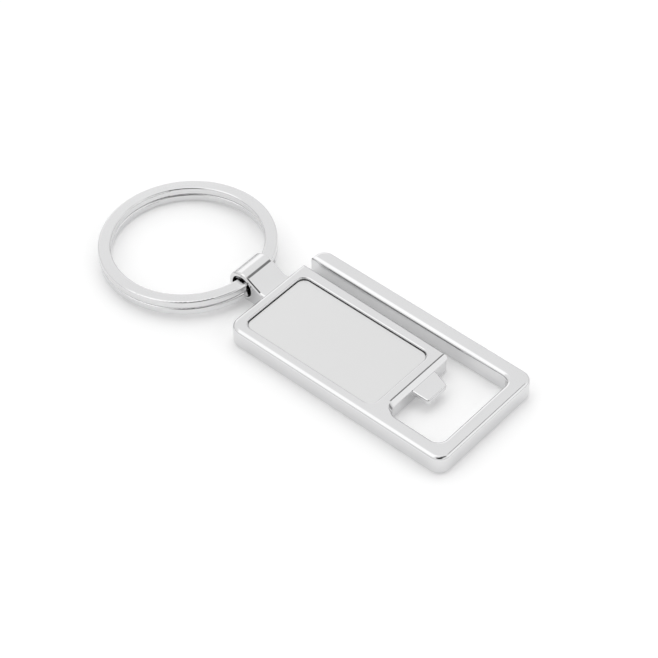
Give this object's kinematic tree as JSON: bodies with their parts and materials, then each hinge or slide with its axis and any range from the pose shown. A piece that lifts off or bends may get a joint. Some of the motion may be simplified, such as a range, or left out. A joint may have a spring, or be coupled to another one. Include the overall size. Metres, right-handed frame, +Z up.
{
  "type": "keychain bottle opener",
  "caption": "Flat metal keychain bottle opener with a cap-lifting lip in an open mouth, an inlaid plate and a hinged split ring.",
  "frame": {"origin": "middle of the casting's flat underside, between the ends and edges of its rectangular body", "axes": "+X from the key ring to the opener end, +Y across to the free bar, +Z up out of the inlaid face"},
  "size_m": [0.083, 0.032, 0.0058],
  "materials": {
    "chrome_casting": "semi-bright chrome plate over a zinc casting",
    "satin_plate": "fine satin, clear anodised, bare",
    "adhesive": "clear transfer adhesive",
    "ring_wire": "bright nickel plate over spring steel"
  },
  "bodies": {
    "opener": {"opener_frame": "chrome_casting", "inlay_plate": "satin_plate", "adhesive_film": "adhesive"},
    "key_ring": {"split_ring": "ring_wire"}
  },
  "joints": [
    {"name": "ring_swing", "type": "hinge", "parent": "opener", "child": "key_ring", "pos_m": [-0.0288, 0, 0.00275], "axis": [0, 1, 0], "range_deg": [-130, 148]}
  ]
}
